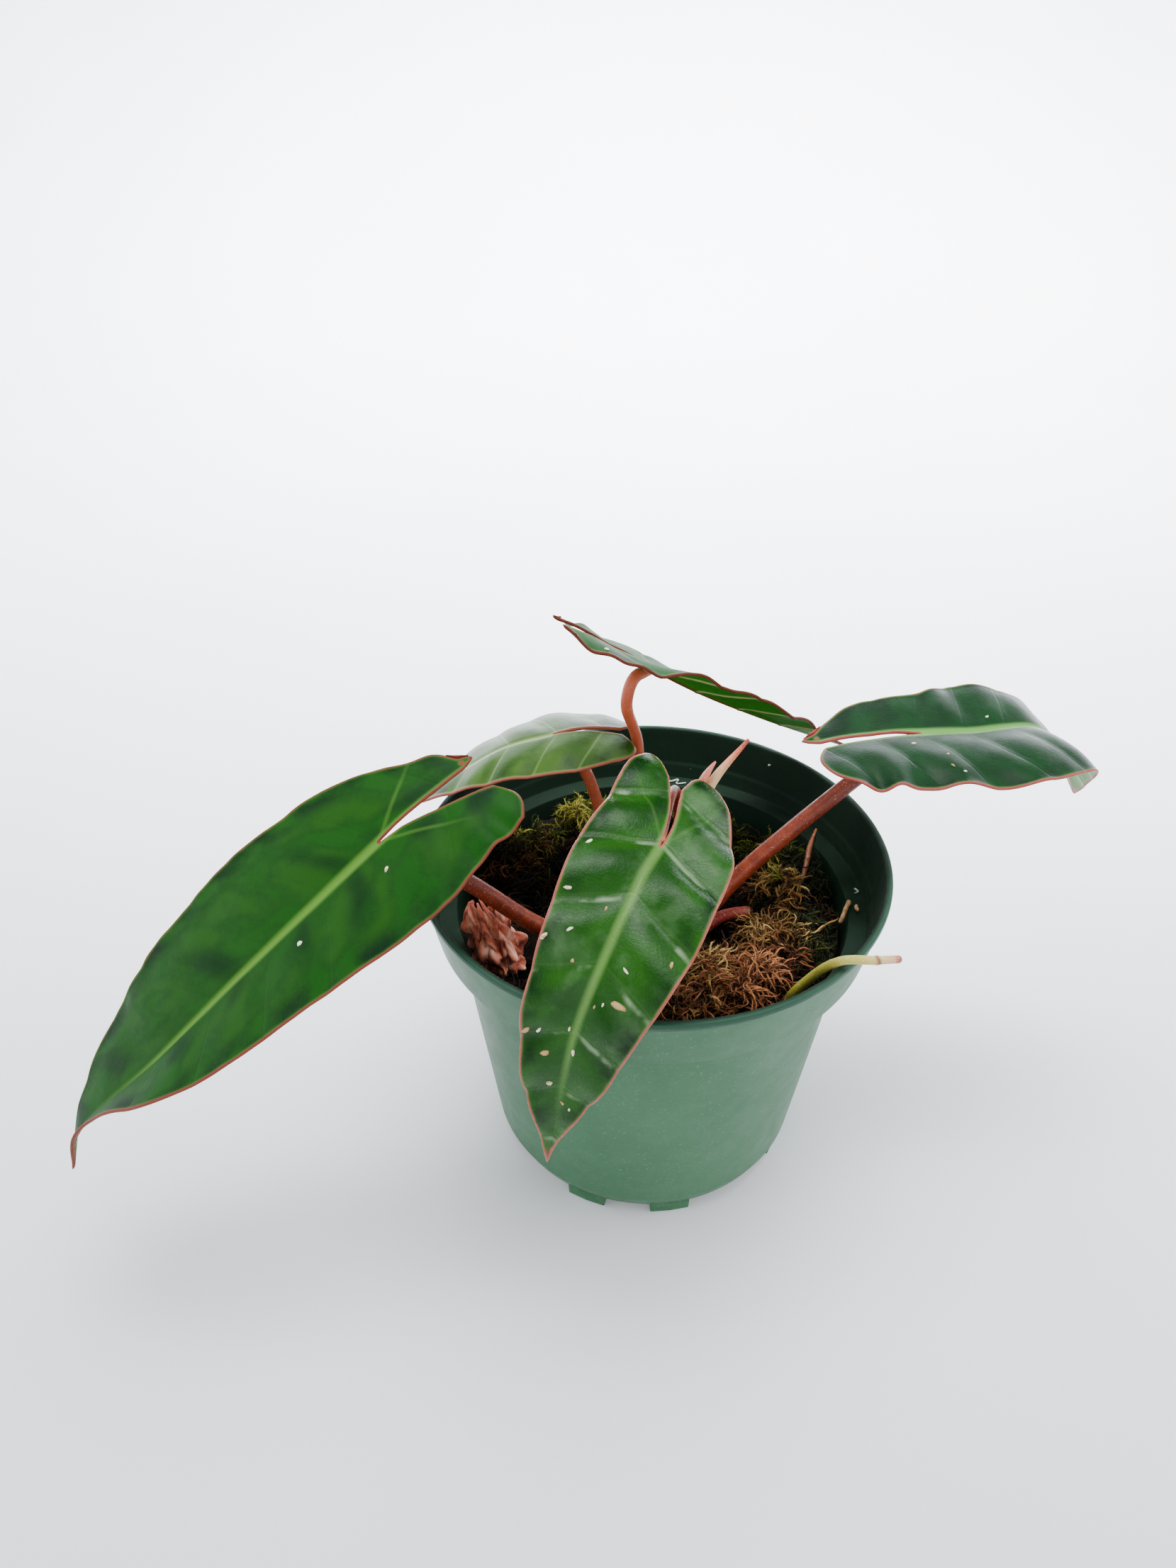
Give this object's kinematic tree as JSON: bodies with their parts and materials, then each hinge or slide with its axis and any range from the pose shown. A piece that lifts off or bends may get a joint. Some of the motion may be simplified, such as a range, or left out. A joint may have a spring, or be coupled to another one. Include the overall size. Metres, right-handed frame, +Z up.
{
  "type": "potted foliage plant",
  "caption": "Young climbing aroid with long arrow-shaped hanging leaves on red stalks, in a round plastic grow pot filled with moss.",
  "frame": {"origin": "centre of the pot's underside pad, on the plane the pot stands on", "axes": "+Z up along the pot's axis, -Y towards the front leaf, +X towards the right-hand leaf"},
  "size_m": [0.3246, 0.1683, 0.1972],
  "materials": {
    "pot": "satin sage green plastic",
    "moss": "damp fibrous long-fibre moss",
    "crown": "waxy reddish stem",
    "blade": "waxy green leaf skin",
    "petiole": "waxy red leaf stalk",
    "new_leaf": "cream rolled leaf with an orange tip",
    "root": "smooth green-yellow root skin",
    "dried": "dry papery sheath"
  },
  "bodies": {
    "root": {"pot": "pot", "moss": "moss", "crown": "crown", "blade_left": "blade", "blade_front": "blade", "blade_backLeft": "blade", "blade_backTall": "blade", "blade_right": "blade", "petiole_left": "petiole", "petiole_front": "petiole", "petiole_backLeft": "petiole", "petiole_backTall": "petiole", "petiole_right": "petiole", "new_leaf_spear": "new_leaf", "spear_sheath": "petiole", "petiole_stub": "petiole", "aerial_root": "root", "dried_strand": "dried", "dried_sheath": "dried"}
  },
  "joints": []
}
